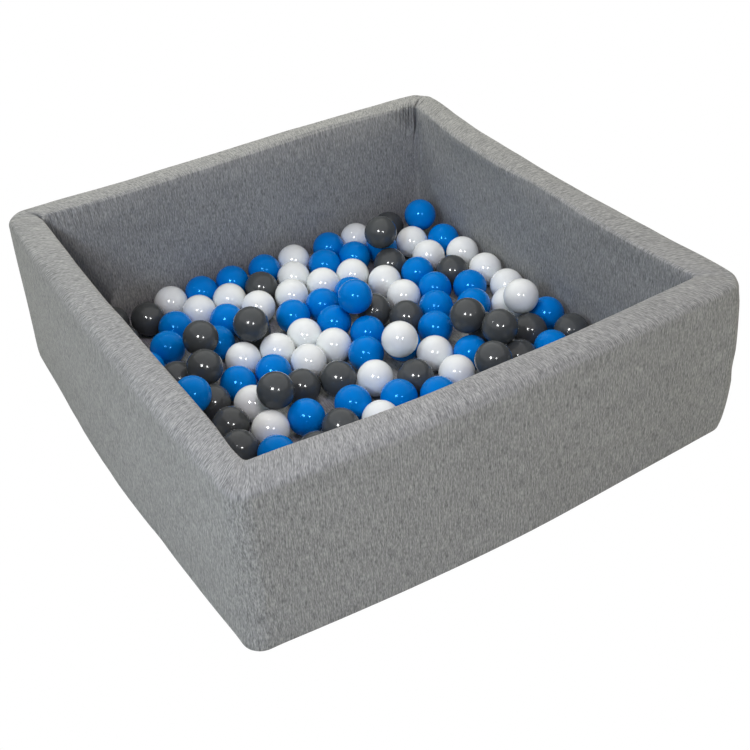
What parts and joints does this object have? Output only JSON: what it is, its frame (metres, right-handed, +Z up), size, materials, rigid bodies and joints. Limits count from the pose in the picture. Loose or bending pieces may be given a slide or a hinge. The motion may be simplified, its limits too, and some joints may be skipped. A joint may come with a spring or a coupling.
{
  "type": "ball pit",
  "caption": "Square soft foam ball pit with a sewn grey jersey cover, rounded rim and zipped base, holding loose white, blue and dark grey plastic balls.",
  "frame": {"origin": "middle of the underside, on the ground", "axes": "+Z up; the front wall faces -Y and the right wall faces +X"},
  "size_m": [0.9346, 0.9404, 0.3],
  "materials": {
    "jersey": "matte knitted melange",
    "underside_fabric": "matte woven",
    "foam": "matte open-cell foam",
    "zip_tape": "matte woven",
    "zip_coil": "satin nylon",
    "zip_metal": "satin zinc alloy",
    "ball_white": "glossy blow-moulded polyethylene",
    "ball_blue": "glossy blow-moulded polyethylene",
    "ball_grey": "glossy blow-moulded polyethylene"
  },
  "bodies": {
    "pit": {"cover_floor": "jersey", "cover_sleeve": "jersey", "cover_underside": "underside_fabric", "floor_balls_01": "ball_grey", "floor_balls_02": "ball_blue", "floor_balls_03": "ball_blue", "floor_balls_04": "ball_white", "floor_balls_05": "ball_blue", "floor_balls_06": "ball_white", "floor_balls_07": "ball_grey", "floor_balls_08": "ball_blue", "floor_balls_09": "ball_grey", "floor_balls_10": "ball_grey", "floor_balls_11": "ball_white", "floor_balls_12": "ball_grey", "floor_balls_13": "ball_white", "floor_balls_14": "ball_blue", "floor_balls_15": "ball_white", "floor_balls_16": "ball_grey", "floor_balls_17": "ball_white", "floor_balls_18": "ball_blue", "floor_balls_19": "ball_blue", "floor_balls_20": "ball_blue", "foam_back": "foam", "foam_front": "foam", "foam_left": "foam", "foam_mat": "foam", "foam_right": "foam", "zip_bottom_stop": "zip_metal", "zip_coil_back": "zip_coil", "zip_coil_front": "zip_coil", "zip_tape_back": "zip_tape", "zip_tape_front": "zip_tape", "zip_top_stop_back": "zip_metal", "zip_top_stop_front": "zip_metal"},
    "ball_01": {"loose_ball_01": "ball_grey"},
    "ball_02": {"loose_ball_02": "ball_grey"},
    "ball_03": {"loose_ball_03": "ball_grey"},
    "ball_04": {"loose_ball_04": "ball_grey"},
    "ball_05": {"loose_ball_05": "ball_grey"},
    "ball_06": {"loose_ball_06": "ball_blue"},
    "ball_07": {"loose_ball_07": "ball_blue"},
    "ball_08": {"loose_ball_08": "ball_white"},
    "ball_09": {"loose_ball_09": "ball_grey"},
    "ball_10": {"loose_ball_10": "ball_grey"},
    "ball_11": {"loose_ball_11": "ball_white"},
    "ball_12": {"loose_ball_12": "ball_grey"},
    "ball_13": {"loose_ball_13": "ball_blue"},
    "ball_14": {"loose_ball_14": "ball_white"},
    "ball_15": {"loose_ball_15": "ball_grey"},
    "ball_16": {"loose_ball_16": "ball_blue"},
    "ball_17": {"loose_ball_17": "ball_white"},
    "ball_18": {"loose_ball_18": "ball_grey"},
    "ball_19": {"loose_ball_19": "ball_white"},
    "ball_20": {"loose_ball_20": "ball_blue"},
    "slider": {"zip_slider": "zip_metal"},
    "pull": {"zip_pull": "zip_metal"}
  },
  "joints": [
    {"name": "lift_ball_01", "type": "slide", "parent": "pit", "child": "ball_01", "axis": [0, 0, 1], "range_m": [0, 0.25]},
    {"name": "lift_ball_02", "type": "slide", "parent": "pit", "child": "ball_02", "axis": [0, 0, 1], "range_m": [0, 0.25]},
    {"name": "lift_ball_03", "type": "slide", "parent": "pit", "child": "ball_03", "axis": [0, 0, 1], "range_m": [0, 0.25]},
    {"name": "lift_ball_04", "type": "slide", "parent": "pit", "child": "ball_04", "axis": [0, 0, 1], "range_m": [0, 0.25]},
    {"name": "lift_ball_05", "type": "slide", "parent": "pit", "child": "ball_05", "axis": [0, 0, 1], "range_m": [0, 0.25]},
    {"name": "lift_ball_06", "type": "slide", "parent": "pit", "child": "ball_06", "axis": [0, 0, 1], "range_m": [0, 0.25]},
    {"name": "lift_ball_07", "type": "slide", "parent": "pit", "child": "ball_07", "axis": [0, 0, 1], "range_m": [0, 0.25]},
    {"name": "lift_ball_08", "type": "slide", "parent": "pit", "child": "ball_08", "axis": [0, 0, 1], "range_m": [0, 0.25]},
    {"name": "lift_ball_09", "type": "slide", "parent": "pit", "child": "ball_09", "axis": [0, 0, 1], "range_m": [0, 0.25]},
    {"name": "lift_ball_10", "type": "slide", "parent": "pit", "child": "ball_10", "axis": [0, 0, 1], "range_m": [0, 0.25]},
    {"name": "lift_ball_11", "type": "slide", "parent": "pit", "child": "ball_11", "axis": [0, 0, 1], "range_m": [0, 0.25]},
    {"name": "lift_ball_12", "type": "slide", "parent": "pit", "child": "ball_12", "axis": [0, 0, 1], "range_m": [0, 0.25]},
    {"name": "lift_ball_13", "type": "slide", "parent": "pit", "child": "ball_13", "axis": [0, 0, 1], "range_m": [0, 0.25]},
    {"name": "lift_ball_14", "type": "slide", "parent": "pit", "child": "ball_14", "axis": [0, 0, 1], "range_m": [0, 0.25]},
    {"name": "lift_ball_15", "type": "slide", "parent": "pit", "child": "ball_15", "axis": [0, 0, 1], "range_m": [0, 0.25]},
    {"name": "lift_ball_16", "type": "slide", "parent": "pit", "child": "ball_16", "axis": [0, 0, 1], "range_m": [0, 0.25]},
    {"name": "lift_ball_17", "type": "slide", "parent": "pit", "child": "ball_17", "axis": [0, 0, 1], "range_m": [0, 0.25]},
    {"name": "lift_ball_18", "type": "slide", "parent": "pit", "child": "ball_18", "axis": [0, 0, 1], "range_m": [0, 0.25]},
    {"name": "lift_ball_19", "type": "slide", "parent": "pit", "child": "ball_19", "axis": [0, 0, 1], "range_m": [0, 0.25]},
    {"name": "lift_ball_20", "type": "slide", "parent": "pit", "child": "ball_20", "axis": [0, 0, 1], "range_m": [0, 0.25]},
    {"name": "zip_slide", "type": "slide", "parent": "pit", "child": "slider", "axis": [-1, 0, 0], "range_m": [0, 0.6564]},
    {"name": "pull_hinge", "type": "hinge", "parent": "slider", "child": "pull", "pos_m": [0.3402, 0.335, 0.003], "axis": [0, -1, 0], "range_deg": [0, 110]}
  ]
}
